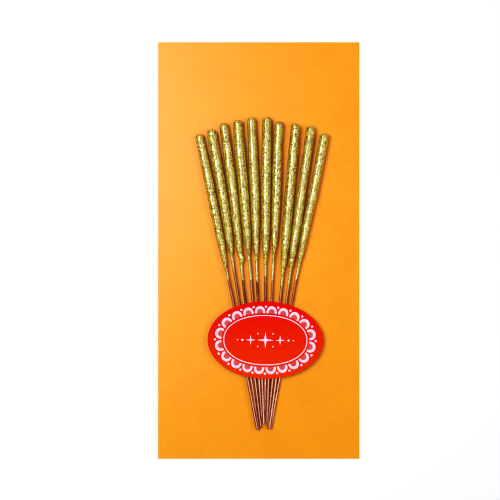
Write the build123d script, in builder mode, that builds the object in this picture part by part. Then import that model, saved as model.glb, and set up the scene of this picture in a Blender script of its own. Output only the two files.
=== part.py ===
from build123d import *
import math
import os

# A carded pack of sparklers: ten dipped sparklers lie fanned out on the front
# of a flat backing card, and their bare wires are gathered under an oval label.
# The card lies on its back. +X is the card's right, +Y its top edge, +Z out of
# its printed front. The origin is the middle of the card's back face.
# All sizes are in millimetres.

# ---------------------------------------------------------------- dimensions
card_width = 104.0
card_height = 215.4
card_thickness = 0.6

label_width = 59.6
label_height = 40.0
label_thickness = 0.45
label_x = 3.45
label_y = -46.2
label_tilt = -1.0  # degrees about Z, clockwise seen from the front

pad_thickness = 3.5  # how far the label stands off the card
pad_width = 6.0
pad_length = 14.5
pad_offset = 22.95  # pad centre to label centre, to each side
pad_corner = 0.8

tape_width = 12.7  # half-inch clear tape
tape_thickness = 0.08
tape_top_y = -47.5
tape_clear_height = 3.28  # underside of the tape where it bridges the wires
tape_foot_left = -16.0
tape_ramp_left = -13.2
tape_bridge_left = -10.6
tape_bridge_right = 15.6
tape_ramp_right = 18.2
tape_foot_right = 21.0

wire_radius = 0.65
wire_end_chamfer = 0.15
wire_cover = 4.0  # coating beyond the buried end of the wire
film_radius = 0.72  # the thin run of coating on the wire below the dipped part
coat_end_radius = 0.80

# The gathered wires lie in two layers, because ten in a row would be too wide.
# Height of a wire's axis above the card at its foot, and its rise per mm.
upper_foot_height = 2.42
upper_rise = 0.0024
lower_foot_height = 1.18
lower_rise = 0.0148

# Each sparkler: head tip (x, y), wire foot (x, y), then distances from the head
# tip: end of the dipped coat, end of the film run, and the coat's radius at
# stations down its length.
sparklers = [
    ((-30.40, 60.18), (-0.67, -92.66), 73.0, 76.6,
     [(6.2, 2.30), (14.5, 2.37), (22.8, 2.48), (31.0, 2.42), (39.3, 2.40), (47.6, 2.22),
      (55.9, 2.10), (60.0, 1.88), (64.1, 1.52), (68.3, 1.12)]),
    ((-24.10, 62.56), (0.03, -92.04), 65.8, 72.5,
     [(6.2, 2.58), (14.5, 2.71), (22.8, 2.60), (31.0, 2.54), (39.3, 2.46), (47.6, 2.26),
      (55.9, 2.08), (60.0, 1.74), (62.5, 1.42), (64.4, 1.15)]),
    ((-17.73, 65.81), (1.00, -91.31), 73.6, 82.7,
     [(6.2, 2.33), (14.5, 2.38), (22.8, 2.50), (31.0, 2.46), (39.3, 2.34), (47.6, 2.25),
      (55.9, 2.07), (60.0, 1.92), (64.1, 1.70), (68.3, 1.34), (71.5, 1.02)]),
    ((-10.93, 67.31), (1.82, -87.38), 71.2, 83.4,
     [(6.2, 2.50), (14.5, 2.83), (22.8, 2.83), (31.0, 2.68), (39.3, 2.66), (47.6, 2.42),
      (55.9, 2.30), (60.0, 2.07), (64.1, 1.66), (68.3, 1.15)]),
    ((-3.75, 68.81), (2.67, -89.66), 76.0, 85.2,
     [(6.2, 2.38), (14.5, 2.48), (22.8, 2.55), (31.0, 2.58), (39.3, 2.46), (47.6, 2.40),
      (55.9, 2.15), (60.0, 1.92), (64.1, 1.62), (68.3, 1.42), (72.4, 1.08)]),
    ((3.98, 69.02), (3.31, -84.64), 75.6, 83.0,
     [(6.2, 2.40), (14.5, 2.58), (22.8, 2.58), (31.0, 2.62), (39.3, 2.60), (47.6, 2.46),
      (55.9, 2.36), (60.0, 2.24), (64.1, 1.92), (68.3, 1.65), (72.4, 1.18)]),
    ((10.62, 66.85), (4.23, -87.79), 71.0, 82.7,
     [(6.2, 2.50), (14.5, 2.42), (22.8, 2.52), (31.0, 2.50), (39.3, 2.40), (47.6, 2.22),
      (55.9, 1.93), (60.0, 1.75), (64.1, 1.38), (68.3, 0.98)]),
    ((19.32, 66.18), (4.85, -92.04), 79.6, 85.4,
     [(6.2, 2.40), (14.5, 2.50), (22.8, 2.60), (31.0, 2.48), (39.3, 2.51), (47.6, 2.50),
      (55.9, 2.38), (60.0, 2.32), (64.1, 2.16), (68.3, 1.86), (72.4, 1.55), (76.5, 1.10)]),
    ((27.00, 64.52), (5.54, -92.09), 76.4, 84.7,
     [(6.2, 2.49), (14.5, 2.44), (22.8, 2.45), (31.0, 2.22), (39.3, 2.38), (47.6, 2.40),
      (55.9, 2.18), (60.0, 2.08), (64.1, 1.90), (68.3, 1.58), (72.4, 1.23)]),
    ((33.60, 60.59), (6.27, -92.09), 71.0, 77.6,
     [(6.2, 2.40), (14.5, 2.38), (22.8, 2.36), (31.0, 2.33), (39.3, 2.22), (47.6, 2.10),
      (55.9, 1.92), (60.0, 1.70), (64.1, 1.40), (68.3, 0.95)]),
]

os.makedirs("parts", exist_ok=True)

# -------------------------------------------------------------- backing card
with BuildPart() as backing_card:
    with BuildSketch(Plane.XY):
        Rectangle(card_width, card_height)
    extrude(amount=card_thickness)
backing_card.part.label = "backing_card"
export_step(backing_card.part, "parts/backing_card.step")

# --------------------------------------- label, and the pads it stands off on
pad_base = Plane(
    origin=(label_x, label_y, card_thickness),
    x_dir=(math.cos(math.radians(label_tilt)), math.sin(math.radians(label_tilt)), 0),
    z_dir=(0, 0, 1),
)
label_base = pad_base.offset(pad_thickness)

with BuildPart() as oval_label:
    with BuildSketch(label_base):
        Ellipse(label_width / 2, label_height / 2)
    extrude(amount=label_thickness)
oval_label.part.label = "oval_label"
export_step(oval_label.part, "parts/oval_label.step")

with BuildPart() as label_foam_left:
    with BuildSketch(pad_base):
        with Locations((-pad_offset, 0)):
            RectangleRounded(pad_width, pad_length, pad_corner)
    extrude(amount=pad_thickness)
label_foam_left.part.label = "label_foam_left"
export_step(label_foam_left.part, "parts/label_foam_left.step")

with BuildPart() as label_foam_right:
    with BuildSketch(pad_base):
        with Locations((pad_offset, 0)):
            RectangleRounded(pad_width, pad_length, pad_corner)
    extrude(amount=pad_thickness)
label_foam_right.part.label = "label_foam_right"
export_step(label_foam_right.part, "parts/label_foam_right.step")

# ------------------------------------- clear tape bridging the gathered wires
# The strip lies flat on the card at both ends, climbs a ramp on each side of
# the wires and runs level over them. The upper line is the lower one moved out
# by the film's thickness, with mitred corners.
left_ramp = math.atan2(tape_clear_height, tape_bridge_left - tape_ramp_left)
right_ramp = math.atan2(tape_clear_height, tape_ramp_right - tape_bridge_right)
left_mitre = tape_thickness * math.tan(left_ramp / 2)
right_mitre = tape_thickness * math.tan(right_ramp / 2)
tape_bridge_top = tape_clear_height + tape_thickness

with BuildPart() as wire_tape:
    with BuildSketch(Plane(origin=(0, tape_top_y, card_thickness), x_dir=(1, 0, 0), z_dir=(0, -1, 0))):
        with BuildLine():
            Polyline(
                (tape_foot_left, 0),
                (tape_ramp_left, 0),
                (tape_bridge_left, tape_clear_height),
                (tape_bridge_right, tape_clear_height),
                (tape_ramp_right, 0),
                (tape_foot_right, 0),
                (tape_foot_right, tape_thickness),
                (tape_ramp_right + right_mitre, tape_thickness),
                (tape_bridge_right + right_mitre, tape_bridge_top),
                (tape_bridge_left - left_mitre, tape_bridge_top),
                (tape_ramp_left - left_mitre, tape_thickness),
                (tape_foot_left, tape_thickness),
                close=True,
            )
        make_face()
    extrude(amount=tape_width)
wire_tape.part.label = "wire_tape"
export_step(wire_tape.part, "parts/wire_tape.step")

# ------------------------------------------------------------------ sparklers
for number, (head, foot, coat_end, film_end, stations) in enumerate(sparklers, start=1):
    upper = number % 2 == 1
    foot_height = upper_foot_height if upper else lower_foot_height
    rise = upper_rise if upper else lower_rise
    plan_length = math.hypot(head[0] - foot[0], head[1] - foot[1])
    foot_point = Vector(foot[0], foot[1], card_thickness + foot_height)
    head_point = Vector(head[0], head[1], card_thickness + foot_height + rise * plan_length)
    length = (head_point - foot_point).length
    along = (head_point - foot_point).normalized()
    across = along.cross(Vector(0, 0, 1)).normalized()
    print(f"sparkler_{number:02d} length {length:.2f} axis {along.X:.6f} {along.Y:.6f} {along.Z:.6f}")

    # straight wire, cut square with a broken edge at the foot
    with BuildPart() as wire:
        with BuildSketch(Plane(origin=foot_point, x_dir=across, z_dir=along)):
            Circle(wire_radius)
        extrude(amount=length - wire_cover)
        chamfer(wire.edges().filter_by(GeomType.CIRCLE).sort_by(Axis.Y)[0], length=wire_end_chamfer)
    wire.part.label = f"sparkler_{number:02d}_wire"
    export_step(wire.part, f"parts/sparkler_{number:02d}_wire.step")

    # dipped coat: half of its section, from the film run up to the round head
    head_radius = stations[0][1]
    body = [(radius, length - distance) for distance, radius in stations]
    body.append((coat_end_radius, length - coat_end))
    with BuildPart() as coating:
        with BuildSketch(Plane(origin=foot_point, x_dir=across, z_dir=across.cross(along))):
            with BuildLine():
                Polyline(
                    (wire_radius, length - wire_cover),
                    (wire_radius, length - film_end),
                    (film_radius, length - film_end),
                    (coat_end_radius, length - coat_end),
                )
                Spline(body[::-1])
                Line(body[0], (head_radius, length - head_radius))
                ThreePointArc(
                    (head_radius, length - head_radius),
                    (head_radius * math.sqrt(0.5), length - head_radius * (1 - math.sqrt(0.5))),
                    (0, length),
                )
                Polyline(
                    (0, length),
                    (0, length - wire_cover),
                    (wire_radius, length - wire_cover),
                )
            make_face()
        revolve(axis=Axis(foot_point, along))
    coating.part.label = f"sparkler_{number:02d}_coating"
    export_step(coating.part, f"parts/sparkler_{number:02d}_coating.step")
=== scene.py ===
import math

import bpy
import numpy as np
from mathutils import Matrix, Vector
from mathutils.geometry import delaunay_2d_cdt


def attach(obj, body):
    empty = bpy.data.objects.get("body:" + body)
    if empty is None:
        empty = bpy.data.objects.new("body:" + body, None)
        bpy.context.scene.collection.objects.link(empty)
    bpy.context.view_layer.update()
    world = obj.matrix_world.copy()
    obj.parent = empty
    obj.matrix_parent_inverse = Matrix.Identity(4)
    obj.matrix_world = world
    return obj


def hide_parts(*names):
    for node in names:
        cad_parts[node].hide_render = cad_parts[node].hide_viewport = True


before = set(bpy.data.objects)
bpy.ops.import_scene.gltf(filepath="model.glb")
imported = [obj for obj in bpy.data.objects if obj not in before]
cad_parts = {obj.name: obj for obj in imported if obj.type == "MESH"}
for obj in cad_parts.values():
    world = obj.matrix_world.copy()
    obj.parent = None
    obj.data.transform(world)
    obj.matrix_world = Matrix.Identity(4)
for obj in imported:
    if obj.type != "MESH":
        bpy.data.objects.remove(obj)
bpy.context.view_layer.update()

# A carded pack of sparklers lying on its back: a printed board card, ten dipped
# sparklers fanned out on it in two layers, and an oval board label on foam pads
# over the gathered wires. Lengths are in millimetres until a mesh is made.

MM = 0.001

# ------------------------------------------------------------------ dimensions
CARD_W, CARD_H, CARD_T = 104.0, 215.4, 0.6
LABEL_X, LABEL_Y, LABEL_TILT = 3.45, -46.2, math.radians(-1.0)
LABEL_A, LABEL_B, LABEL_T = 29.8, 20.0, 0.45
PAD_T = 3.5
PAD_W, PAD_L, PAD_OFFSET = 6.0, 14.5, 22.95
TAPE_TOP, TAPE_W, TAPE_T = -47.5, 12.7, 0.08
WIRE_R, WIRE_COVER, FILM_R, COAT_END_R = 0.65, 4.0, 0.72, 0.80
UPPER_H, UPPER_RISE, LOWER_H, LOWER_RISE = 2.42, 0.0024, 1.18, 0.0148

# head tip, wire foot, end of coat, end of film run, then radius down the coat
SPARKLERS = [
    ((-30.40, 60.18), (-0.67, -92.66), 73.0, 76.6,
     [(6.2, 2.30), (14.5, 2.37), (22.8, 2.48), (31.0, 2.42), (39.3, 2.40), (47.6, 2.22),
      (55.9, 2.10), (60.0, 1.88), (64.1, 1.52), (68.3, 1.12)]),
    ((-24.10, 62.56), (0.03, -92.04), 65.8, 72.5,
     [(6.2, 2.58), (14.5, 2.71), (22.8, 2.60), (31.0, 2.54), (39.3, 2.46), (47.6, 2.26),
      (55.9, 2.08), (60.0, 1.74), (62.5, 1.42), (64.4, 1.15)]),
    ((-17.73, 65.81), (1.00, -91.31), 73.6, 82.7,
     [(6.2, 2.33), (14.5, 2.38), (22.8, 2.50), (31.0, 2.46), (39.3, 2.34), (47.6, 2.25),
      (55.9, 2.07), (60.0, 1.92), (64.1, 1.70), (68.3, 1.34), (71.5, 1.02)]),
    ((-10.93, 67.31), (1.82, -87.38), 71.2, 83.4,
     [(6.2, 2.50), (14.5, 2.83), (22.8, 2.83), (31.0, 2.68), (39.3, 2.66), (47.6, 2.42),
      (55.9, 2.30), (60.0, 2.07), (64.1, 1.66), (68.3, 1.15)]),
    ((-3.75, 68.81), (2.67, -89.66), 76.0, 85.2,
     [(6.2, 2.38), (14.5, 2.48), (22.8, 2.55), (31.0, 2.58), (39.3, 2.46), (47.6, 2.40),
      (55.9, 2.15), (60.0, 1.92), (64.1, 1.62), (68.3, 1.42), (72.4, 1.08)]),
    ((3.98, 69.02), (3.31, -84.64), 75.6, 83.0,
     [(6.2, 2.40), (14.5, 2.58), (22.8, 2.58), (31.0, 2.62), (39.3, 2.60), (47.6, 2.46),
      (55.9, 2.36), (60.0, 2.24), (64.1, 1.92), (68.3, 1.65), (72.4, 1.18)]),
    ((10.62, 66.85), (4.23, -87.79), 71.0, 82.7,
     [(6.2, 2.50), (14.5, 2.42), (22.8, 2.52), (31.0, 2.50), (39.3, 2.40), (47.6, 2.22),
      (55.9, 1.93), (60.0, 1.75), (64.1, 1.38), (68.3, 0.98)]),
    ((19.32, 66.18), (4.85, -92.04), 79.6, 85.4,
     [(6.2, 2.40), (14.5, 2.50), (22.8, 2.60), (31.0, 2.48), (39.3, 2.51), (47.6, 2.50),
      (55.9, 2.38), (60.0, 2.32), (64.1, 2.16), (68.3, 1.86), (72.4, 1.55), (76.5, 1.10)]),
    ((27.00, 64.52), (5.54, -92.09), 76.4, 84.7,
     [(6.2, 2.49), (14.5, 2.44), (22.8, 2.45), (31.0, 2.22), (39.3, 2.38), (47.6, 2.40),
      (55.9, 2.18), (60.0, 2.08), (64.1, 1.90), (68.3, 1.58), (72.4, 1.23)]),
    ((33.60, 60.59), (6.27, -92.09), 71.0, 77.6,
     [(6.2, 2.40), (14.5, 2.38), (22.8, 2.36), (31.0, 2.33), (39.3, 2.22), (47.6, 2.10),
      (55.9, 1.92), (60.0, 1.70), (64.1, 1.40), (68.3, 0.95)]),
]

# Runs and lumps of each coat: distance from the head, direction round the coat
# in degrees (0 is the card's right, 90 is up), height, half length, half angle.
LUMPS = {
    1: [(66.5, 200, 0.10, 2.0, 50)],
    2: [(64.0, 60, 0.22, 1.6, 70), (62.5, 250, 0.12, 1.5, 60)],
    3: [(70.3, 5, 0.80, 1.9, 62), (71.8, 0, 0.30, 1.6, 50), (70.6, 180, -0.26, 2.6, 70), (66.0, 150, 0.10, 3.0, 60)],
    4: [(67.2, 40, 0.20, 1.4, 80)],
    5: [(68.5, 180, 0.10, 2.0, 60)],
    6: [(60.8, 75, 0.24, 2.1, 80), (56.2, 70, -0.10, 1.4, 60), (65.5, 20, 0.10, 2.0, 60)],
    7: [(66.0, 30, 0.08, 2.5, 60)],
    8: [(70.0, 150, 0.10, 3.0, 60)],
    9: [(66.5, 330, 0.16, 1.6, 50), (60.5, 20, 0.10, 1.8, 60)],
    10: [(33.2, 20, 0.20, 1.3, 40), (66.0, 330, 0.10, 2.0, 60)],
}
# how far a head leans: height lost across it, and the direction of the high side
LEAN = {8: (1.6, 175), 7: (0.6, 20), 9: (0.4, 160), 1: (0.3, 170), 2: (0.2, 150), 3: (0.15, 160), 6: (0.4, 20), 10: (0.6, 20)}
# The wires are not quite straight: how far each sparkler's middle line lies from
# its straight axis, towards the card's right, at these distances from the head.
BOW_AT = [0, 4, 12, 21, 31, 41, 51, 61, 72, 85, 96, 112, 170]
BOW = {
    1: [-0.42, -0.38, -0.23, -0.05, 0.02, -0.04, 0.00, 0.12, 0.10, 0.35, 0.30, 0, 0],
    2: [-0.44, -0.40, -0.38, -0.10, 0.11, 0.22, 0.20, 0.04, -0.03, 0.08, 0.06, 0, 0],
    3: [-0.34, -0.28, -0.10, -0.04, 0.15, 0.18, 0.10, 0.07, 0.00, -0.16, -0.12, 0, 0],
    4: [-0.05, -0.08, -0.14, -0.07, 0.06, 0.07, 0.02, 0.08, 0.09, 0.17, 0.14, 0, 0],
    5: [-0.04, 0.00, 0.09, 0.04, 0.14, 0.13, 0.02, -0.22, -0.36, -0.50, -0.40, 0, 0],
    6: [0.24, 0.23, 0.17, 0.02, -0.03, -0.06, -0.13, -0.14, -0.18, -0.17, -0.12, 0, 0],
    7: [-0.06, -0.12, -0.23, -0.14, 0.03, 0.17, 0.19, 0.11, -0.03, -0.14, -0.10, 0, 0],
    8: [-0.12, -0.10, -0.06, -0.06, -0.06, 0.00, 0.06, 0.12, 0.16, 0.20, 0.16, 0, 0],
    9: [0.14, 0.15, 0.15, 0.06, 0.00, -0.05, -0.13, -0.22, -0.36, -0.30, -0.22, 0, 0],
    10: [0.57, 0.56, 0.50, 0.36, 0.18, -0.16, -0.44, -0.54, -0.67, -0.80, -0.62, 0, 0],
}
# dark burnt streaks and grey or gold residue on the wires, from and to a distance
# from the head, and strength
STAINS = {3: [(82.0, 99.0, 1.0)], 5: [(85.0, 92.0, 0.8), (94.0, 99.0, 0.5)], 6: [(86.0, 95.0, 0.25)]}
RESIDUE = {9: [(84.5, 89.0, 0.5), (126.0, 146.0, 0.6)], 8: [(85.0, 91.0, 0.4), (128.0, 136.0, 0.3)],
           4: [(83.0, 88.0, 0.35)], 7: [(82.5, 86.0, 0.3)], 2: [(72.0, 77.0, 0.4)], 3: [(82.0, 99.0, 0.30), (130.0, 142.0, 0.3)]}


# ----------------------------------------------------------------------- noise
def lattice(ix, iy, iz, seed):
    """A repeatable number from 0 to 1 for each whole-number point."""
    h = ((ix & 0xFFFF) * 73856093) ^ ((iy & 0xFFFF) * 19349663) ^ ((iz & 0xFFFF) * 83492791) ^ (seed * 2654435)
    h = h & 0xFFFFFFFF
    h = ((h ^ (h >> 15)) * 739981) & 0xFFFFFFFF
    h = ((h ^ (h >> 13)) * 461845907) & 0xFFFFFFFF
    h = h ^ (h >> 16)
    return h / 4294967295.0


def smooth_noise(p, cell, seed):
    """Smooth noise from -1 to 1 at points p, with features about one cell across."""
    q = np.asarray(p) / cell
    i = np.floor(q).astype(np.int64)
    f = q - i
    f = f * f * f * (f * (f * 6 - 15) + 10)
    out = np.zeros(len(q))
    for dx in (0, 1):
        wx = f[:, 0] if dx else 1 - f[:, 0]
        for dy in (0, 1):
            wy = f[:, 1] if dy else 1 - f[:, 1]
            for dz in (0, 1):
                wz = f[:, 2] if dz else 1 - f[:, 2]
                out += wx * wy * wz * lattice(i[:, 0] + dx, i[:, 1] + dy, i[:, 2] + dz, seed)
    return out * 2 - 1


def grains(p, cell, seed):
    """Rounded grains, one to a cell: the height of the tallest one over each point, in cells."""
    q = np.asarray(p) / cell
    base = np.floor(q).astype(np.int64)
    best = np.zeros(len(q))
    for dx in (-1, 0, 1):
        for dy in (-1, 0, 1):
            for dz in (-1, 0, 1):
                c = base + np.array([dx, dy, dz])
                centre = c + np.stack([lattice(c[:, 0], c[:, 1], c[:, 2], seed + k) for k in (1, 2, 3)], 1)
                size = 0.28 + 0.42 * lattice(c[:, 0], c[:, 1], c[:, 2], seed + 4)
                d2 = ((q - centre) ** 2).sum(1) / size**2
                best = np.maximum(best, np.clip(1 - d2, 0, None) * size)
    return best


def smoothstep(a, b, x):
    t = np.clip((np.asarray(x, float) - a) / (b - a), 0, 1)
    return t * t * (3 - 2 * t)


def shaped(stations, x):
    """A smooth curve through stations that never overshoots them."""
    xs, ys = np.array([s[0] for s in stations], float), np.array([s[1] for s in stations], float)
    h, d = np.diff(xs), np.diff(ys) / np.diff(xs)
    m = np.zeros(len(xs))
    m[0], m[-1] = d[0], d[-1]
    for k in range(1, len(xs) - 1):
        if d[k - 1] * d[k] > 0:
            w1, w2 = 2 * h[k] + h[k - 1], h[k] + 2 * h[k - 1]
            m[k] = (w1 + w2) / (w1 / d[k - 1] + w2 / d[k])
    x = np.clip(x, xs[0], xs[-1])
    k = np.clip(np.searchsorted(xs, x, side="right") - 1, 0, len(h) - 1)
    t = (x - xs[k]) / h[k]
    return ((2 * t**3 - 3 * t**2 + 1) * ys[k] + (t**3 - 2 * t**2 + t) * h[k] * m[k]
            + (-2 * t**3 + 3 * t**2) * ys[k + 1] + (t**3 - t**2) * h[k] * m[k + 1])


# ------------------------------------------------------------------ mesh making
def make_object(name, points, faces, materials, face_materials=None, smooth=True, floats=None):
    """A mesh object from points in millimetres, with its float attributes by point."""
    me = bpy.data.meshes.new(name)
    me.from_pydata((np.asarray(points) * MM).tolist(), [], faces)
    for m in materials:
        me.materials.append(m)
    if face_materials is not None:
        me.polygons.foreach_set("material_index", np.asarray(face_materials, np.int32))
    if isinstance(smooth, bool):
        smooth = [smooth] * len(me.polygons)
    me.polygons.foreach_set("use_smooth", np.asarray(smooth, bool))
    for key, values in (floats or {}).items():
        a = me.attributes.new(key, "FLOAT", "POINT")
        a.data.foreach_set("value", np.asarray(values, np.float32))
    me.validate()
    me.update()
    o = bpy.data.objects.new(name, me)
    bpy.context.scene.collection.objects.link(o)
    return o


def ring_faces(first, count, second=None):
    """Quads between a ring of count points starting at first and the next ring."""
    second = first + count if second is None else second
    return [(first + k, first + (k + 1) % count, second + (k + 1) % count, second + k) for k in range(count)]


# --------------------------------------------------------------------- materials
class Nodes:
    """Short-hand for one material's node tree."""

    def __init__(self, name):
        self.material = bpy.data.materials.new(name)
        self.material.use_nodes = True
        self.tree = self.material.node_tree
        self.tree.nodes.clear()
        out = self.tree.nodes.new("ShaderNodeOutputMaterial")
        self.shader = self.tree.nodes.new("ShaderNodeBsdfPrincipled")
        self.tree.links.new(self.shader.outputs[0], out.inputs[0])

    def set(self, socket, value):
        if isinstance(value, bpy.types.NodeSocket):
            self.tree.links.new(value, socket)
        else:
            socket.default_value = value

    def put(self, **inputs):
        for key, value in inputs.items():
            self.set(self.shader.inputs[key.replace("_", " ")], value)

    def add(self, kind, inputs=None, **attributes):
        n = self.tree.nodes.new("ShaderNode" + kind)
        for key, value in attributes.items():
            setattr(n, key, value)
        for key, value in (inputs or {}).items():
            self.set(n.inputs[key], value)
        return n

    def math(self, operation, a, b=0.0, c=0.0, clamp=False):
        return self.add("Math", {0: a, 1: b, 2: c}, operation=operation, use_clamp=clamp).outputs[0]

    def vector(self, operation, a, b=(0, 0, 0)):
        n = self.add("VectorMath", operation=operation)
        self.set(n.inputs[0], a)
        self.set(n.inputs["Scale" if operation == "SCALE" else 1], b)
        return n.outputs["Value" if operation in ("LENGTH", "DOT_PRODUCT") else "Vector"]

    def place(self, scale=1000.0):
        """The point on the piece, in millimetres when scale is 1000."""
        return self.vector("SCALE", self.add("TexCoord").outputs["Object"], scale)

    def value(self, name):
        return self.add("Attribute", attribute_name=name).outputs["Fac"]

    def noise(self, where, scale, detail=2.0, rough=0.5, distortion=0.0):
        return self.add("TexNoise", {"Vector": where, "Scale": scale, "Detail": detail, "Roughness": rough,
                                     "Distortion": distortion}).outputs["Fac"]

    def cells(self, where, scale, randomness=1.0, feature="F1"):
        return self.add("TexVoronoi", {"Vector": where, "Scale": scale, "Randomness": randomness}, feature=feature)

    def ramp(self, value, stops, mode="LINEAR"):
        n = self.add("ValToRGB", {"Fac": value})
        n.color_ramp.interpolation = mode
        while len(n.color_ramp.elements) < len(stops):
            n.color_ramp.elements.new(0.5)
        for e, (at, colour) in zip(n.color_ramp.elements, stops):
            e.position = at
            e.color = (*colour, 1) if len(colour) == 3 else colour
        return n.outputs["Color"]

    def span(self, value, low, high, to_low=0.0, to_high=1.0):
        return self.add("MapRange", {"Value": value, "From Min": low, "From Max": high, "To Min": to_low,
                                     "To Max": to_high}).outputs["Result"]

    def mix(self, amount, a, b, blend="MIX"):
        n = self.add("Mix", data_type="RGBA", blend_type=blend)
        self.set(n.inputs[0], amount)
        for socket, v in ((n.inputs[6], a), (n.inputs[7], b)):
            self.set(socket, (*v, 1) if isinstance(v, tuple) and len(v) == 3 else v)
        return n.outputs[2]

    def bump(self, height, strength, distance, normal=None):
        n = self.add("Bump", {"Height": height, "Strength": strength, "Distance": distance})
        if normal is not None:
            self.set(n.inputs["Normal"], normal)
        return n.outputs["Normal"]


def linear(r, g, b):
    """Linear colour from 0 to 255 screen values."""
    def one(c):
        c /= 255
        return c / 12.92 if c <= 0.04045 else ((c + 0.055) / 1.055) ** 2.4
    return (one(r), one(g), one(b))


def gold_coat():
    """Hard fine-grained composition, full of metal flakes."""
    n = Nodes("gold_composition")
    p = n.place()
    film, crest = n.value("film"), n.value("crest")
    small, fine, dust = n.cells(p, 2.3), n.cells(p, 3.6), n.cells(p, 8.5)
    broad = n.noise(p, 0.30, 3.0, 0.55)
    one = n.add("SeparateColor", {0: small.outputs["Color"]})
    two = n.add("SeparateColor", {0: fine.outputs["Color"]})
    tone = n.math("ADD", n.math("MULTIPLY", one.outputs[0], 0.48), n.math("MULTIPLY", two.outputs[1], 1.30))
    three = n.add("SeparateColor", {0: dust.outputs["Color"]})
    tone = n.math("ADD", tone, n.math("MULTIPLY", n.math("SUBTRACT", three.outputs[0], 0.5), 0.55))
    # painted highlight on the grain crests and painted shade in the pits and between grains
    tone = n.math("ADD", tone, n.math("MULTIPLY", crest, 0.22))
    tone = n.math("ADD", tone, n.span(broad, 0.3, 0.7, -0.57, -0.45))
    colour = n.ramp(tone, [
        (0.0, (0.190, 0.095, 0.001)),
        (0.25, (0.390, 0.250, 0.001)),
        (0.50, (0.590, 0.440, 0.002)),
        (0.75, (0.800, 0.670, 0.012)),
        (1.0, (0.980, 0.920, 0.240)),
    ])
    specks = n.math("LESS_THAN", one.outputs[2], 0.032)
    colour = n.mix(n.math("MULTIPLY", specks, 0.9), colour, (0.060, 0.026, 0.002))
    patchy = n.math("MULTIPLY", film, n.span(n.noise(p, 1.6, 2.0, 0.6), 0.35, 0.60, 0.15, 0.75))
    colour = n.mix(patchy, colour, (0.600, 0.500, 0.220))
    tilt = n.vector("ADD",
                    n.vector("SCALE", n.vector("SUBTRACT", small.outputs["Color"], (0.5, 0.5, 0.5)), 0.24),
                    n.vector("SCALE", n.vector("SUBTRACT", fine.outputs["Color"], (0.5, 0.5, 0.5)), 0.60))
    tilt = n.vector("ADD", tilt, n.vector("SCALE", n.vector("SUBTRACT", dust.outputs["Color"], (0.5, 0.5, 0.5)), 0.40))
    lie = n.bump(n.noise(p, 3.0, 3.0, 0.6), 0.4, 0.00008)
    down = n.math("SUBTRACT", n.span(tone, 0.05, 0.50, -0.27, 0.0), n.math("MULTIPLY", specks, 0.7))
    away = n.vector("ADD", n.vector("SCALE", tilt, 0.27), n.add("CombineXYZ", {1: down}).outputs[0])
    n.put(Base_Color=colour, Metallic=0.75,
          Normal=n.vector("NORMALIZE", n.vector("ADD", lie, tilt)),
          Coat_Normal=n.vector("NORMALIZE", n.vector("ADD", lie, away)),
          Roughness=n.span(two.outputs[2], 0.0, 1.0, 0.62, 0.80))
    n.shader.inputs["Specular IOR Level"].default_value = 0.2
    n.shader.inputs["Coat Weight"].default_value = 1.0
    n.shader.inputs["Coat Roughness"].default_value = 0.20
    n.shader.inputs["Coat IOR"].default_value = 2.48
    n.shader.inputs["Specular Tint"].default_value = (0.95, 0.75, 0.25, 1)
    return n.material


def copper_wire():
    """Drawn steel wire with a thin copper wash, dulled and stained in places, with painted shade near the coat and
    painted light towards the foot.
    """
    n = Nodes("copper_washed_wire")
    p = n.place()
    streak, stain, residue = n.value("streak"), n.value("stain"), n.value("residue")
    blotch = n.noise(p, 0.55, 3.0, 0.6)
    colour = n.ramp(n.math("ADD", n.math("MULTIPLY", streak, 0.6), n.math("MULTIPLY", blotch, 0.4)), [
        (0.30, (0.270, 0.095, 0.050)),
        (0.50, (0.450, 0.200, 0.115)),
        (0.70, (0.620, 0.340, 0.210)),
    ])
    # painted shade near the coat and painted light towards the foot: the colour is scaled from 0.76 up to 1.15 along
    # the wire, and near the coat the coat normal tilts away
    toward_foot = n.span(n.add("SeparateXYZ", {0: p}).outputs[1], -32.0, -64.0)
    shade = n.span(toward_foot, 0.0, 1.0, 0.76, 1.15)
    colour = n.mix(1.0, colour, n.add("CombineColor", {0: shade, 1: shade, 2: shade}).outputs[0], "MULTIPLY")
    marks = n.math("MULTIPLY", stain, n.span(n.noise(p, 1.1, 3.0, 0.65), 0.28, 0.52), clamp=True)
    colour = n.mix(marks, colour, (0.110, 0.055, 0.012))
    dust = n.math("MULTIPLY", residue, n.span(n.noise(p, 1.8, 3.0, 0.6), 0.40, 0.58), clamp=True)
    colour = n.mix(dust, colour, (0.580, 0.440, 0.230))
    rough = n.math("ADD", n.span(streak, 0.3, 0.7, 0.34, 0.44), n.math("MULTIPLY", marks, 0.25), clamp=True)
    height = n.math("ADD", n.math("MULTIPLY", streak, 0.6), n.math("MULTIPLY", n.noise(p, 6.0, 2.0), 0.4))
    lie = n.bump(height, 0.35, 0.00006)
    dull = n.math("SUBTRACT", n.span(toward_foot, 0.0, 1.0, -0.22, 0.0), n.math("MULTIPLY", marks, 0.9))
    dull = n.add("CombineXYZ", {1: dull}).outputs[0]
    n.put(Base_Color=colour, Metallic=0.9, Roughness=rough, Normal=lie,
          Coat_Normal=n.vector("NORMALIZE", n.vector("ADD", lie, dull)))
    n.shader.inputs["Coat Weight"].default_value = 1.0
    n.shader.inputs["Coat Roughness"].default_value = 0.27
    n.shader.inputs["Coat IOR"].default_value = 2.0
    return n.material


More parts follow.
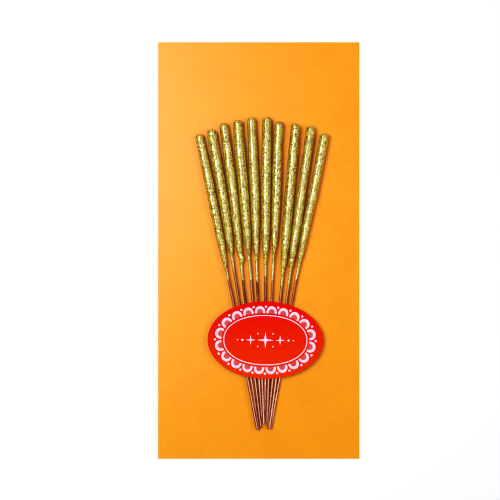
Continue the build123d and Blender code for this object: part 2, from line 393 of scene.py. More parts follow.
def card_front():
    """Satin orange print on smooth board, with a faint mottle in the ink."""
    n = Nodes("card_orange_print")
    p = n.place()
    colour = n.ramp(n.noise(p, 0.05, 3.0, 0.55), [(0.30, (0.880, 0.321, 0.0014)), (0.70, (0.900, 0.345, 0.0024))])
    mottle = n.span(n.noise(p, 0.16, 4.0, 0.6), 0.3, 0.7, 0.975, 1.015)
    fibre = n.span(n.noise(n.vector("MULTIPLY", p, (1.0, 0.35, 1.0)), 2.4, 3.0, 0.65), 0.3, 0.7, 0.98, 1.015)
    shade = n.math("MULTIPLY", mottle, fibre)
    colour = n.mix(1.0, colour, n.add("CombineColor", {0: shade, 1: shade, 2: shade}).outputs[0], "MULTIPLY")
    n.put(Base_Color=colour, Roughness=n.span(n.noise(p, 1.5, 2.0), 0.3, 0.7, 0.33, 0.39),
          Normal=n.bump(n.noise(p, 4.0, 4.0, 0.65), 0.14, 0.00003))
    n.shader.inputs["Specular IOR Level"].default_value = 0.54
    return n.material


def board(name, light, dark, ply):
    """Bare board: fibres, and along a cut edge the plies."""
    n = Nodes(name)
    p = n.place()
    fibre = n.noise(n.vector("MULTIPLY", p, (1.0, 1.0, ply)), 1.6, 4.0, 0.65)
    flecks = n.span(n.noise(p, 5.0, 2.0), 0.60, 0.72)
    colour = n.ramp(fibre, [(0.30, dark), (0.70, light)])
    colour = n.mix(n.math("MULTIPLY", flecks, 0.25), colour, dark)
    n.put(Base_Color=colour, Roughness=n.span(fibre, 0.3, 0.7, 0.80, 0.92),
          Normal=n.bump(n.noise(p, 3.0, 4.0, 0.7), 0.30, 0.00006))
    return n.material


def label_ink(name, base, deep, drift=0.0):
    """Satin ink on label board. drift warms it slowly from the top of the label to its foot."""
    n = Nodes(name)
    p = n.place()
    mottle = n.noise(p, 0.25, 3.0, 0.6)
    grain = n.noise(p, 3.2, 3.0, 0.6)
    low = n.span(n.add("SeparateXYZ", {0: p}).outputs[1], -26.0, -66.0, 0.0, 1.0)
    tone = n.math("ADD", n.math("MULTIPLY", low, drift), n.span(mottle, 0.3, 0.7, 0.0, 1.0 - drift))
    colour = n.mix(tone, deep, base)
    shade = n.span(grain, 0.3, 0.7, 0.95, 1.03)
    colour = n.mix(1.0, colour, n.add("CombineColor", {0: shade, 1: shade, 2: shade}).outputs[0], "MULTIPLY")
    n.put(Base_Color=colour, Roughness=n.span(grain, 0.3, 0.7, 0.62, 0.74),
          Normal=n.bump(n.noise(p, 4.5, 3.0, 0.6), 0.12, 0.00004))
    n.shader.inputs["Specular IOR Level"].default_value = 0.06
    return n.material


def white_foam():
    """Closed-cell foam tape, cut square."""
    n = Nodes("foam_cells")
    p = n.place()
    cell = n.cells(p, 3.2)
    rim = n.cells(p, 3.2, feature="DISTANCE_TO_EDGE")
    colour = n.ramp(rim.outputs["Distance"], [(0.0, (0.83, 0.82, 0.78)), (0.12, (0.70, 0.69, 0.65)), (0.5, (0.60, 0.59, 0.55))])
    n.put(Base_Color=colour, Roughness=n.span(cell.outputs["Distance"], 0.0, 0.6, 0.75, 0.95),
          Normal=n.bump(rim.outputs["Distance"], 0.6, 0.00015))
    n.shader.inputs["Subsurface Weight"].default_value = 0.1
    n.shader.inputs["Subsurface Scale"].default_value = 0.001
    return n.material


def clear_tape():
    """Clear film: mostly what lies behind it, with a gloss and faint lengthwise haze."""
    n = Nodes("clear_film")
    p = n.place()
    haze = n.noise(n.vector("MULTIPLY", p, (0.15, 1.0, 1.0)), 1.2, 3.0, 0.6)
    n.put(Base_Color=n.ramp(haze, [(0.3, (0.80, 0.80, 0.76)), (0.7, (0.92, 0.92, 0.90))]),
          Alpha=n.span(haze, 0.3, 0.7, 0.16, 0.30), Roughness=n.span(haze, 0.3, 0.7, 0.10, 0.22),
          Normal=n.bump(haze, 0.2, 0.00005))
    return n.material


GOLD, COPPER = gold_coat(), copper_wire()
ORANGE = card_front()
CARD_EDGE = board("card_cut_edge", (0.80, 0.74, 0.66), (0.58, 0.50, 0.42), 8.0)
CARD_BACK = board("card_bare_back", (0.80, 0.79, 0.75), (0.66, 0.64, 0.60), 1.0)
RED = label_ink("label_red_ink", (0.800, 0.095, 0.0005), (0.760, 0.002, 0.0001), 0.88)
PINK = label_ink("label_pale_pink_ink", linear(252, 216, 238), linear(246, 202, 228))
ROSE = label_ink("label_dusty_rose_ink", linear(214, 118, 110), linear(200, 98, 94))
LABEL_EDGE = board("label_cut_edge", (0.86, 0.80, 0.76), (0.70, 0.60, 0.56), 8.0)
LABEL_BACK = board("label_bare_back", (0.82, 0.80, 0.77), (0.70, 0.68, 0.64), 1.0)
FOAM, TAPE = white_foam(), clear_tape()


# ------------------------------------------------------------------- sparklers
def axis_of(number):
    """Foot, direction, sideways and upward unit vectors, and length of one sparkler."""
    head, foot, *_ = SPARKLERS[number - 1]
    upper = number % 2 == 1
    low, rise = (UPPER_H, UPPER_RISE) if upper else (LOWER_H, LOWER_RISE)
    plan = math.hypot(head[0] - foot[0], head[1] - foot[1])
    start = np.array([foot[0], foot[1], CARD_T + low])
    end = np.array([head[0], head[1], CARD_T + low + rise * plan])
    length = np.linalg.norm(end - start)
    along = (end - start) / length
    side = np.cross(along, (0, 0, 1))
    side /= np.linalg.norm(side)
    return start, along, side, np.cross(side, along), length


def bowed(number, points):
    """The points of one sparkler, moved sideways to follow its wire's slight bends."""
    start, along, side, up, length = axis_of(number)
    points = np.asarray(points, float)
    s = length - (points - start) @ along
    return points + side * shaped(list(zip(BOW_AT, BOW[number])), s)[:, None]


def bands(spans, s, fade=1.2):
    out = np.zeros_like(s)
    for a, b, strength in spans:
        out = np.maximum(out, strength * smoothstep(a - fade, a + fade * 0.3, s) * (1 - smoothstep(b - fade, b + fade, s)))
    return out


def coat(number):
    head, foot, coat_end, film_end, stations = SPARKLERS[number - 1]
    start, along, side, up, length = axis_of(number)
    round_r = stations[0][1]
    turn = 96
    step = 0.16

    # rings from the head's tip down to the end of the film run
    head_s = [round_r * (1 - math.cos(a)) for a in np.linspace(0.07, math.pi / 2, 17)]
    body_s = np.linspace(round_r, film_end, int((film_end - round_r) / step))[1:]
    s = np.concatenate([head_s, body_s])
    curve = [(round_r * 0.999, round_r)] + stations + [(coat_end, COAT_END_R), (film_end, FILM_R)]
    r = np.where(s < round_r, np.sqrt(np.clip(round_r**2 - (round_r - s) ** 2, 0, None)),
                 shaped(curve, np.maximum(s, round_r)))
    slope = np.gradient(r, s)
    slope[s < round_r] = ((round_r - s) / np.maximum(r, 1e-3))[s < round_r]
    slope[s >= film_end - 2 * step] = 0
    cos_b, sin_b = 1 / np.sqrt(1 + slope**2), slope / np.sqrt(1 + slope**2)

    angle = np.linspace(0, 2 * math.pi, turn, endpoint=False)
    S, A = np.meshgrid(s, angle, indexing="ij")
    radial = np.cos(A)[..., None] * side + np.sin(A)[..., None] * up
    point = start + along * (length - S)[..., None] + radial * r[:, None, None]
    normal = radial * cos_b[:, None, None] + along * sin_b[:, None, None]
    flat, n = point.reshape(-1, 3), normal.reshape(-1, 3)
    sf, af = S.ravel(), A.ravel()

    # film: thin and smooth; coat: uneven and grainy
    edge = smooth_noise(np.stack([np.cos(af) * 1.2, np.sin(af) * 1.2, np.full_like(af, number * 3.7)], 1), 1.0, 40)
    film = smoothstep(coat_end - 2.2, coat_end + 1.6, sf + 1.3 * edge)
    body = 1 - film
    lump = np.zeros_like(sf)
    for at, degrees, height, half, spread in LUMPS.get(number, []):
        turned = (np.degrees(af) - degrees + 180) % 360 - 180
        lump += height * np.exp(-((sf - at) / half) ** 2) * np.exp(-((turned / spread) ** 2))
    uneven = (0.055 * smooth_noise(flat, 7.0, 11) + 0.045 * smooth_noise(flat, 2.4, 12)
              + 0.022 * smooth_noise(flat, 1.0, 13))
    grain = 0.075 * grains(flat, 0.62, 21) + 0.055 * grains(flat, 0.40, 31)
    pits = -0.09 * smoothstep(0.60, 0.82, smooth_noise(flat, 0.8, 51))
    # crest: the grain height, which the gold material turns into painted highlight on crests and painted shade in pits
    crest = np.clip((grain + pits) / 0.042, 0, 1)
    move = body * (uneven + grain + pits + 0.04) + film * (0.015 * smooth_noise(flat, 1.1, 14) + 0.04 * grains(flat, 0.5, 61))
    flat = flat + n * (move + lump)[:, None]

    # a head that set at a slant, and the ragged end of the film run
    if number in LEAN:
        drop, towards = LEAN[number]
        across = np.cos(af - math.radians(towards)) * np.sqrt(np.clip(1 - ((round_r - np.minimum(sf, round_r)) / round_r) ** 2, 0, 1))
        fall = np.clip(1 - sf / (2.2 * round_r), 0, 1)
        flat = flat - along * (drop * 0.5 * (1 - across) * fall * (sf < 2.2 * round_r))[:, None]
    ragged = smoothstep(film_end - 3.0, film_end, sf) * 0.8 * (edge - 0.5)
    flat = flat + along * np.clip(ragged, -1.2, 0)[:, None] * -1.0

    tip = start + along * (length - 0.03)
    if number in LEAN:
        tip = tip - along * LEAN[number][0] * 0.5
    count = len(s)
    points = [tip] + list(flat)
    faces = [(0, 1 + k, 1 + (k + 1) % turn) for k in range(turn)]
    for row in range(count - 1):
        first = 1 + row * turn
        faces += [(a, d, c, b) for a, b, c, d in ring_faces(first, turn)]

    # the lip at the film's end, then the bore that the wire fills
    last = 1 + (count - 1) * turn
    end_ring = flat[-turn:]
    bore = end_ring - (((end_ring - start) - ((end_ring - start) @ along)[:, None] * along)
                       * (1 - WIRE_R / np.linalg.norm((end_ring - start) - ((end_ring - start) @ along)[:, None] * along, axis=1))[:, None])
    spoke = np.cos(angle)[:, None] * side + np.sin(angle)[:, None] * up
    top = start + along * (length - WIRE_COVER) + spoke * WIRE_R
    b0 = len(points)
    points += list(bore)
    b1 = len(points)
    points += list(top)
    b2 = len(points)
    points.append(start + along * (length - WIRE_COVER))
    faces += [(a, d, c, b) for a, b, c, d in ring_faces(last, turn, b0)]
    faces += [(a, d, c, b) for a, b, c, d in ring_faces(b0, turn, b1)]
    faces += [(b1 + (k + 1) % turn, b1 + k, b2) for k in range(turn)]

    extra = len(points) - 1 - len(flat)
    film_all = np.concatenate([[0.0], film, np.ones(extra)])
    along_all = np.concatenate([[0.0], sf, np.full(extra, film_end)])
    crest_all = np.concatenate([[0.5], crest, np.full(extra, 0.5)])
    o = make_object(f"gold_coat_{number:02d}", bowed(number, points), faces, [GOLD],
                    floats={"film": film_all, "along": along_all, "crest": crest_all})
    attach(o, f"sparkler_{number:02d}")
    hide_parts(f"sparkler_{number:02d}_coating")
    return o


def wire(number):
    start, along, side, up, length = axis_of(number)
    film_end = SPARKLERS[number - 1][3]
    turn = 28
    top = length - WIRE_COVER
    t = np.concatenate([np.linspace(0.16, 2.0, 8), np.linspace(2.0, top, int(top / 0.7))[1:]])
    angle = np.linspace(0, 2 * math.pi, turn, endpoint=False)
    T, A = np.meshgrid(t, angle, indexing="ij")
    tf, af = T.ravel(), A.ravel()
    key = np.full_like(t, number * 11.3)
    free = 1 - smoothstep(length - film_end - 14, length - film_end - 2, t)
    sway_x = 0.045 * free * smooth_noise(np.stack([t, key, key], 1), 19.0, 71)
    sway_y = 0.030 * free * smooth_noise(np.stack([t, key + 5, key], 1), 23.0, 72)
    radial = np.cos(af)[:, None] * side + np.sin(af)[:, None] * up
    drawn = 0.006 * smooth_noise(np.stack([np.cos(af) * 2, np.sin(af) * 2, tf * 0.05 + number * 7], 1), 0.5, 73)
    worn = 0.010 * smooth_noise(np.stack([np.cos(af), np.sin(af), tf + number * 31], 1), 1.6, 74)
    swell = np.repeat(free, turn) * (drawn + worn) - 0.004
    points = start + along * tf[:, None] + radial * (WIRE_R + swell)[:, None]
    points += side * np.repeat(sway_x, turn)[:, None] + up * np.repeat(sway_y, turn)[:, None]

    # the snipped foot: a slanted face pinched by the cutter, with a broken rim
    heading = number * 2.399
    slant = 0.16 + 0.14 * ((number * 37) % 10) / 10
    lower = 1 - smoothstep(0.16, 2.0, tf)
    points += along * (slant * lower * np.cos(af - heading))[:, None]
    first = points[:turn]
    middle = first.mean(0)
    rim = middle + (first - middle) * 0.84 - along * 0.13
    inner = middle + (first - middle) * 0.42 - along * 0.15
    all_points = list(rim) + list(points)
    count = len(t)
    faces = []
    for row in range(count):
        faces += [(a, b, c, d) for a, b, c, d in ring_faces(row * turn, turn)]
    base = len(all_points)
    all_points += list(inner)
    all_points.append(middle - along * 0.12)
    faces += [(base + k, base + (k + 1) % turn, (k + 1) % turn, k) for k in range(turn)]
    faces += [(base + (k + 1) % turn, base + k, base + turn) for k in range(turn)]
    end = len(all_points)
    all_points.append(start + along * top)
    last = count * turn
    faces += [(last + k, last + (k + 1) % turn, end) for k in range(turn)]

    tt = np.concatenate([np.zeros(turn), tf, np.zeros(turn + 1), [top]])
    turns = np.concatenate([angle, af, angle, [0, 0]])
    round_it = np.stack([np.cos(turns) * 1.5, np.sin(turns) * 1.5, tt * 0.03 + number * 9], 1)
    streak = 0.5 + 0.32 * smooth_noise(round_it, 0.9, 75) + 0.16 * smooth_noise(round_it, 0.4, 76)
    s = length - tt
    o = make_object(f"bare_wire_{number:02d}", bowed(number, all_points), faces, [COPPER], floats={
        "streak": streak, "stain": bands(STAINS.get(number, []), s), "residue": bands(RESIDUE.get(number, []), s)})
    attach(o, f"sparkler_{number:02d}")
    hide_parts(f"sparkler_{number:02d}_wire")
    return o


for number in range(1, 11):
    wire(number)
    coat(number)


# ------------------------------------------------------------------------ card
def card():
    """A board with square-cut edges, their rims slightly broken by the knife."""
    w, h, soft = CARD_W / 2, CARD_H / 2, 0.05
    nx, ny = 26, 54
    xs, ys = np.linspace(-w + soft, w - soft, nx + 1), np.linspace(-h + soft, h - soft, ny + 1)
    points, faces, mats, smooth = [], [], [], []

    def sheet(z, flip, material):
        first = len(points)
        for y in ys:
            for x in xs:
                points.append((x, y, z))
        for j in range(ny):
            for i in range(nx):
                a = first + j * (nx + 1) + i
                q = (a, a + 1, a + nx + 2, a + nx + 1)
                faces.append(q[::-1] if flip else q)
                mats.append(material)
                smooth.append(False)
        lower = [first + i for i in range(nx + 1)]
        right = [first + j * (nx + 1) + nx for j in range(1, ny + 1)]
        upper = [first + ny * (nx + 1) + i for i in range(nx - 1, -1, -1)]
        left = [first + j * (nx + 1) for j in range(ny - 1, 0, -1)]
        return lower + right + upper + left

    top = sheet(CARD_T, False, 0)
    bottom = sheet(0.0, True, 2)
    count = len(top)

    def out_ring(z):
        first = len(points)
        for k in top:
            x, y, _ = points[k]
            px = w if x > w - 2 * soft else (-w if x < -w + 2 * soft else x)
            py = h if y > h - 2 * soft else (-h if y < -h + 2 * soft else y)
            points.append((px, py, z))
        return [first + k for k in range(count)]

    high, low = out_ring(CARD_T - soft), out_ring(soft)
    for a, b, material, is_smooth in ((high, top, 0, False), (low, high, 1, False), (bottom, low, 2, False)):
        for k in range(count):
            m = (k + 1) % count
            faces.append((a[k], a[m], b[m], b[k]))
            mats.append(material)
            smooth.append(is_smooth)
    o = make_object("printed_card", points, faces, [ORANGE, CARD_EDGE, CARD_BACK], mats, smooth)
    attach(o, "pack")
    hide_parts("backing_card")


card()


# ----------------------------------------------------------------------- label
def label():
    """The oval label. Its print is cut into the top face: a keyline oval, a border
    of round scallops with beads between them, and a small twinkle in the middle."""
    bevel = 0.06
    rim_n = 256

    def oval(a, b, count, power=2.0):
        out = []
        for k in range(count):
            t = 2 * math.pi * k / count
            c, s = math.cos(t), math.sin(t)
            out.append((a * math.copysign(abs(c) ** (2 / power), c), b * math.copysign(abs(s) ** (2 / power), s)))
        return out

    outline = oval(LABEL_A - bevel, LABEL_B - bevel, rim_n)
    shapes = []  # (outline, material), later ones lie over earlier ones
    key_a, key_b, key_w, power = 21.65, 12.95, 0.5, 2.15
    shapes.append((oval(key_a, key_b, 160, power), 1))
    shapes.append((oval(key_a - key_w, key_b - key_w, 160, power), 0))

    # walk the border's base line by length, so that the scallops are all one size
    base = oval(key_a + 0.95, key_b + 0.95, 4000, power)
    base.append(base[0])
    lengths = np.concatenate([[0], np.cumsum([math.dist(p, q) for p, q in zip(base, base[1:])])])
    total = lengths[-1]

    def at(d):
        d = d % total
        k = min(int(np.searchsorted(lengths, d, side="right")) - 1, len(base) - 2)
        f = (d - lengths[k]) / (lengths[k + 1] - lengths[k])
        p, q = np.array(base[k]), np.array(base[k + 1])
        tangent = (q - p) / np.linalg.norm(q - p)
        return p + (q - p) * f, tangent, np.array([tangent[1], -tangent[0]])

    scallops = 20
    unit = total / scallops

    def arch(middle, width, height, sink=0.0):
        """A round-topped arch on the base line, bent to follow it."""
        out = []
        for k in range(25):
            a = math.pi * k / 24
            x, y = width / 2 * math.cos(a), height * math.sin(a) ** 0.85
            p, _, outward = at(middle - x)
            out.append(tuple(p + outward * (y + sink)))
        for x in np.linspace(-width / 2, width / 2, 9)[1:-1]:
            p, _, outward = at(middle - x)
            out.append(tuple(p + outward * sink))
        return out

    def disc(centre, radius, count=20):
        return [(centre[0] + radius * math.cos(2 * math.pi * k / count),
                 centre[1] + radius * math.sin(2 * math.pi * k / count)) for k in range(count)]

    for k in range(scallops):
        middle = (k + 0.5) * unit
        shapes.append((arch(middle, unit * 0.90, 3.7), 1))
        shapes.append((arch(middle, unit * 0.54, 2.25), 2))
        p, _, outward = at(k * unit)
        shapes.append((disc(p + outward * 3.35, 0.62), 1))

    def twinkle(cx, cy, ray, waist, turn=0.0):
        out = []
        for k in range(8):
            a = math.pi / 4 * k + turn
            d = ray if k % 2 == 0 else waist
            out.append((cx + d * math.cos(a), cy + d * math.sin(a)))
        return out

    shapes.append((twinkle(0, 0, 4.4, 0.85), 1))
    for sign in (-1, 1):
        shapes.append((twinkle(sign * 7.6, 0.0, 2.7, 0.55), 1))
        shapes.append((disc((sign * 11.9, 0.0), 0.6, 16), 1))
        shapes.append((disc((sign * 14.4, 0.0), 0.38, 12), 1))
        shapes.append((disc((sign * 3.9, 3.3), 0.42, 12), 1))
        shapes.append((disc((sign * 3.9, -3.3), 0.42, 12), 1))

    points = [Vector(p) for p in outline]
    edges = [(k, (k + 1) % rim_n) for k in range(rim_n)]
    for loop, _ in shapes:
        first, count = len(points), len(loop)
        points += [Vector(p) for p in loop]
        edges += [(first + k, first + (k + 1) % count) for k in range(count)]
    spread = 1.7
    for j in range(-14, 15):
        for i in range(-20, 21):
            x, y = (i + 0.5 * (j % 2)) * spread, j * spread * 0.866
            if (x / (LABEL_A - 0.8)) ** 2 + (y / (LABEL_B - 0.8)) ** 2 < 1:
                points.append(Vector((x, y)))
    verts, _, tris, *_ = delaunay_2d_cdt(points, edges, [], 0, 1e-4)
    flat = np.array([(v.x, v.y) for v in verts])
    tris = np.array([t for t in tris if len(t) == 3])
    mid = flat[tris].mean(1)
    area = np.abs(np.cross(flat[tris[:, 1]] - flat[tris[:, 0]], flat[tris[:, 2]] - flat[tris[:, 0]])) / 2
    keep = area > 1e-7
    tris, mid = tris[keep], mid[keep]

    def inside(loop, pts):
        loop = np.asarray(loop)
        a, b = loop, np.roll(loop, -1, axis=0)
        x, y = pts[:, 0][:, None], pts[:, 1][:, None]
        crosses = (a[:, 1] > y) != (b[:, 1] > y)
        with np.errstate(divide="ignore", invalid="ignore"):
            at_x = (b[:, 0] - a[:, 0]) * (y - a[:, 1]) / (b[:, 1] - a[:, 1]) + a[:, 0]
        return (crosses & (x < at_x)).sum(1) % 2 == 1

    ink = np.zeros(len(tris), int)
    for loop, material in shapes:
        ink[inside(loop, mid)] = material

    # the rim of the top face, found again after the cut
    z0, z1 = CARD_T + PAD_T, CARD_T + PAD_T + LABEL_T
    rim = [int(np.argmin(((flat - p) ** 2).sum(1))) for p in outline]
    c, s = math.cos(LABEL_TILT), math.sin(LABEL_TILT)

    def place(x, y, z):
        return (LABEL_X + c * x - s * y, LABEL_Y + s * x + c * y, z)

    all_points = [place(x, y, z1) for x, y in flat]
    faces = [tuple(int(v) for v in t) for t in tris]
    turned = np.cross(flat[tris[:, 1]] - flat[tris[:, 0]], flat[tris[:, 2]] - flat[tris[:, 0]])
    faces = [f if w > 0 else f[::-1] for f, w in zip(faces, turned)]
    mats = list(ink)
    smooth = [False] * len(faces)

    def ring(a, b, z):
        first = len(all_points)
        all_points.extend(place(x, y, z) for x, y in oval(a, b, rim_n))
        return [first + k for k in range(rim_n)]

    shoulder = ring(LABEL_A - bevel * 0.3, LABEL_B - bevel * 0.3, z1 - bevel * 0.3)
    high = ring(LABEL_A, LABEL_B, z1 - bevel)
    low = ring(LABEL_A, LABEL_B, z0 + 0.04)
    under = ring(LABEL_A - 0.04, LABEL_B - 0.04, z0)
    for a, b, material in ((shoulder, rim, 0), (high, shoulder, 3), (low, high, 3), (under, low, 4)):
        for k in range(rim_n):
            m = (k + 1) % rim_n
            faces.append((a[k], a[m], b[m], b[k]))
            mats.append(material)
            smooth.append(True)
    rows = [under]
    for part in (0.75, 0.5, 0.25):
        rows.append(ring((LABEL_A - 0.04) * part, (LABEL_B - 0.04) * part, z0))
    for a, b in zip(rows, rows[1:]):
        for k in range(rim_n):
            m = (k + 1) % rim_n
            faces.append((a[m], a[k], b[k], b[m]))
            mats.append(4)
            smooth.append(False)
    centre = len(all_points)
    all_points.append(place(0, 0, z0))
    for k in range(rim_n):
        faces.append((rows[-1][(k + 1) % rim_n], rows[-1][k], centre))
        mats.append(4)
        smooth.append(False)

    o = make_object("oval_printed_label", all_points, faces, [RED, PINK, ROSE, LABEL_EDGE, LABEL_BACK], mats, smooth)
    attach(o, "pack")
    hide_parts("oval_label")


label()


# ------------------------------------------------------------------- foam pads
def foam(name, node, sign):
    """A square-cut foam pad: cells opened along its cut sides, waisted a little."""
    nx, ny, nz = 22, 52, 14
    c, s = math.cos(LABEL_TILT), math.sin(LABEL_TILT)
    grid, index = [], {}

    def point(i, j, k):
        key = (i, j, k)
        if key not in index:
            index[key] = len(grid)
            x = (i / nx - 0.5) * PAD_W
            y = (j / ny - 0.5) * PAD_L
            z = k / nz * PAD_T
            grid.append((x, y, z))
        return index[key]

    faces = []
    for k, flip in ((0, True), (nz, False)):
        for i in range(nx):
            for j in range(ny):
                q = (point(i, j, k), point(i + 1, j, k), point(i + 1, j + 1, k), point(i, j + 1, k))
                faces.append(q[::-1] if flip else q)
    for j, flip in ((0, False), (ny, True)):
        for i in range(nx):
            for k in range(nz):
                q = (point(i, j, k), point(i + 1, j, k), point(i + 1, j, k + 1), point(i, j, k + 1))
                faces.append(q[::-1] if flip else q)
    for i, flip in ((0, True), (nx, False)):
        for j in range(ny):
            for k in range(nz):
                q = (point(i, j, k), point(i, j + 1, k), point(i, j + 1, k + 1), point(i, j, k + 1))
                faces.append(q[::-1] if flip else q)
    p = np.array(grid)
    mid = 1 - (2 * p[:, 2] / PAD_T - 1) ** 2
    edge_x, edge_y = np.abs(p[:, 0]) > PAD_W / 2 - 1e-6, np.abs(p[:, 1]) > PAD_L / 2 - 1e-6
    inner = (p[:, 2] > 1e-6) & (p[:, 2] < PAD_T - 1e-6)
    open_cells = 0.16 * np.clip(grains(p, 0.55, 81), 0, 1)
    sink = (0.14 * mid + open_cells * inner) * (edge_x | edge_y)
    # round the upright corners, then pull the cut sides in
    corner = 0.8
    over_x, over_y = np.abs(p[:, 0]) - (PAD_W / 2 - corner), np.abs(p[:, 1]) - (PAD_L / 2 - corner)
    both = (over_x > 0) & (over_y > 0)
    far = np.hypot(over_x, over_y)
    reach = np.maximum(over_x, over_y)
    with np.errstate(divide="ignore", invalid="ignore"):
        pull = np.where(both & (far > 0), reach / far, 1.0)
    p[:, 0] = np.where(both, np.sign(p[:, 0]) * (PAD_W / 2 - corner + over_x * pull), p[:, 0])
    p[:, 1] = np.where(both, np.sign(p[:, 1]) * (PAD_L / 2 - corner + over_y * pull), p[:, 1])
    p[:, 0] *= 1 - sink / (PAD_W / 2)
    p[:, 1] *= 1 - sink / (PAD_L / 2)
    x = p[:, 0] + sign * PAD_OFFSET
    placed = np.stack([LABEL_X + c * x - s * p[:, 1], LABEL_Y + s * x + c * p[:, 1], CARD_T + p[:, 2]], 1)
    o = make_object(name, placed, faces, [FOAM])
    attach(o, "pack")
    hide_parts(node)


foam("foam_pad_left", "label_foam_left", -1)
foam("foam_pad_right", "label_foam_right", 1)


# ------------------------------------------------------------------------ tape
def tape():
    """Clear tape pulled taut over the gathered wires, stuck to the card at both ends."""
    left, right = -16.0, 21.0
    xs = np.linspace(left, right, 186)
    ys = np.linspace(TAPE_TOP, TAPE_TOP - TAPE_W, 29)
    axes = [axis_of(k) for k in range(1, 11)]
    under = np.zeros((len(ys), len(xs)))
    for j, y in enumerate(ys):
        spots = [(left, 0.0), (-13.6, 0.0), (18.6, 0.0), (right, 0.0)]
        for start, along, *_ in axes:
            p = start + along * ((y - start[1]) / along[1])
            for a in np.linspace(0.1, math.pi - 0.1, 13):
                spots.append((p[0] + (WIRE_R + 0.10) * math.cos(a), p[2] - CARD_T + (WIRE_R + 0.10) * math.sin(a)))
        spots = sorted(spots)
        hull = []
        for q in spots:
            while len(hull) > 1 and ((hull[-1][0] - hull[-2][0]) * (q[1] - hull[-2][1])
                                     - (hull[-1][1] - hull[-2][1]) * (q[0] - hull[-2][0])) >= 0:
                hull.pop()
            hull.append(q)
        shape = np.interp(xs, [q[0] for q in hull], [q[1] for q in hull])
        # the hull spans straight from the card's edge of the tape to the first wire: let it land sooner
        first, last = min(q[0] for q in spots[2:-2]), max(q[0] for q in spots[2:-2])
        under[j] = shape * smoothstep(left + 1.0, first - 0.1, xs) ** 0.8 * (1 - smoothstep(last + 0.1, right - 1.0, xs)) ** 0.8
    for _ in range(2):
        under[1:-1] = 0.25 * under[:-2] + 0.5 * under[1:-1] + 0.25 * under[2:]
    under = np.minimum(under, 3.30)
    slope = np.gradient(under, xs, axis=1)
    nx, nz = -slope / np.sqrt(1 + slope**2), 1 / np.sqrt(1 + slope**2)
    points = []
    for thick in (0.0, TAPE_T):
        for j, y in enumerate(ys):
            for i, x in enumerate(xs):
                points.append((x + nx[j, i] * thick, y, CARD_T + 0.01 + under[j, i] + nz[j, i] * thick))
    rows, cols = len(ys), len(xs)
    block = rows * cols
    faces = []
    for j in range(rows - 1):
        for i in range(cols - 1):
            a = j * cols + i
            faces.append((a, a + 1, a + cols + 1, a + cols))
            faces.append((block + a, block + a + cols, block + a + cols + 1, block + a + 1))
    border = ([i for i in range(cols)] + [j * cols + cols - 1 for j in range(1, rows)]
              + [(rows - 1) * cols + i for i in range(cols - 2, -1, -1)] + [j * cols for j in range(rows - 2, 0, -1)])
    for k in range(len(border)):
        a, b = border[k], border[(k + 1) % len(border)]
        faces.append((b, a, block + a, block + b))
    o = make_object("clear_tape_strip", points, faces, [TAPE])
    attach(o, "pack")
    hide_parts("wire_tape")


tape()


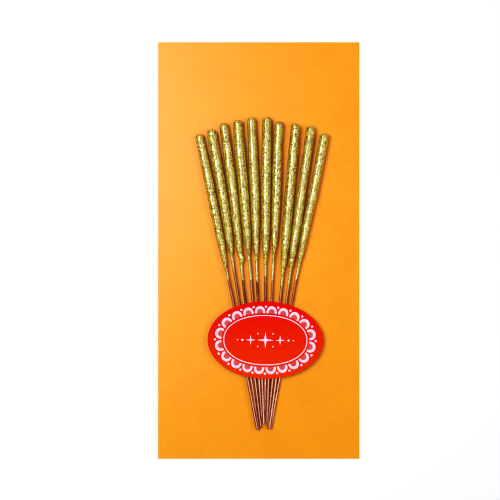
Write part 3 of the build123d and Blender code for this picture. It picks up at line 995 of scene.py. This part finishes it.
# ------------------------------------------------------- floor, light and camera
def stage():
    n = Nodes("pale_floor")
    p = n.place(1.0)
    n.put(Base_Color=n.ramp(n.noise(p, 3.0, 2.0), [(0.3, (0.97, 0.97, 0.97)), (0.7, (0.99, 0.99, 0.99))]), Roughness=0.85)
    n.shader.inputs["Specular IOR Level"].default_value = 0.1
    me = bpy.data.meshes.new("floor")
    me.from_pydata([(-6, -6, -0.0002), (6, -6, -0.0002), (6, 6, -0.0002), (-6, 6, -0.0002)], [], [(0, 1, 2, 3)])
    me.materials.append(n.material)
    floor = bpy.data.objects.new("floor", me)
    bpy.context.scene.collection.objects.link(floor)

    # a dim studio with a pale wall before and behind the card, lit by two softboxes
    world = bpy.data.worlds.new("studio")
    world.use_nodes = True
    tree = world.node_tree
    where = tree.nodes.new("ShaderNodeTexCoord")
    split = tree.nodes.new("ShaderNodeSeparateXYZ")
    wall = tree.nodes.new("ShaderNodeMapRange")
    wall.interpolation_type = "SMOOTHSTEP"
    for key, value in {"From Min": 0.55, "From Max": 0.90, "To Min": 0.02, "To Max": 0.80}.items():
        wall.inputs[key].default_value = value
    both = tree.nodes.new("ShaderNodeMath")
    both.operation = "ABSOLUTE"
    tree.links.new(where.outputs["Generated"], split.inputs[0])
    tree.links.new(split.outputs[1], both.inputs[0])
    tree.links.new(both.outputs[0], wall.inputs["Value"])
    tree.links.new(wall.outputs["Result"], tree.nodes["Background"].inputs[1])
    tree.nodes["Background"].inputs[0].default_value = (1.0, 1.0, 1.0, 1)
    bpy.context.scene.world = world

    def lamp(name, place, target, size, watts, colour=(1, 1, 1)):
        data = bpy.data.lights.new(name, "AREA")
        data.shape, data.size, data.energy, data.color = "DISK", size, watts, colour
        o = bpy.data.objects.new(name, data)
        o.location = place
        o.rotation_euler = (Vector(target) - Vector(place)).to_track_quat("-Z", "Y").to_euler()
        bpy.context.scene.collection.objects.link(o)

    lamp("left_softbox", (-0.24, 0.10, 0.70), (0, 0, 0), 0.42, 4.45)
    lamp("right_softbox", (0.50, -0.04, 0.74), (0, 0, 0), 0.58, 2.7)

    view = bpy.data.cameras.new("front_camera")
    camera = bpy.data.objects.new("front_camera", view)
    across = 0.2586  # width of the card's plane in the picture
    height = 0.9
    view.sensor_width = 36.0
    view.lens = 36.0 * height / across
    camera.location = (-0.00446, 0.00023, CARD_T * MM + height)
    camera.rotation_euler = (0, 0, 0)
    view.clip_start, view.clip_end = 0.01, 50
    bpy.context.scene.collection.objects.link(camera)
    bpy.context.scene.camera = camera

    # a print-like tone curve: deeper shadows under the same highlights
    look = bpy.context.scene.view_settings
    look.view_transform = "Standard"
    look.use_curve_mapping = True
    tone = look.curve_mapping
    for at, to in ((0.05, 0.019), (0.10, 0.047), (0.20, 0.120), (0.35, 0.275), (0.50, 0.457), (0.75, 0.742)):
        tone.curves[3].points.new(at, to)
    # the darkest shadows go to maroon
    for at, to in ((0.05, 0.070), (0.10, 0.125), (0.20, 0.208), (0.30, 0.30), (0.60, 0.60)):
        tone.curves[0].points.new(at, to)
    for at, to in ((0.05, 0.028), (0.10, 0.064), (0.15, 0.115), (0.20, 0.180), (0.26, 0.252), (0.35, 0.35), (0.60, 0.60)):
        tone.curves[1].points.new(at, to)
    for at, to in ((0.04, 0.022), (0.10, 0.072), (0.16, 0.137), (0.24, 0.232), (0.35, 0.35), (0.60, 0.60)):
        tone.curves[2].points.new(at, to)
    tone.update()
    bpy.context.scene.cycles.filter_width = 1.3


stage()
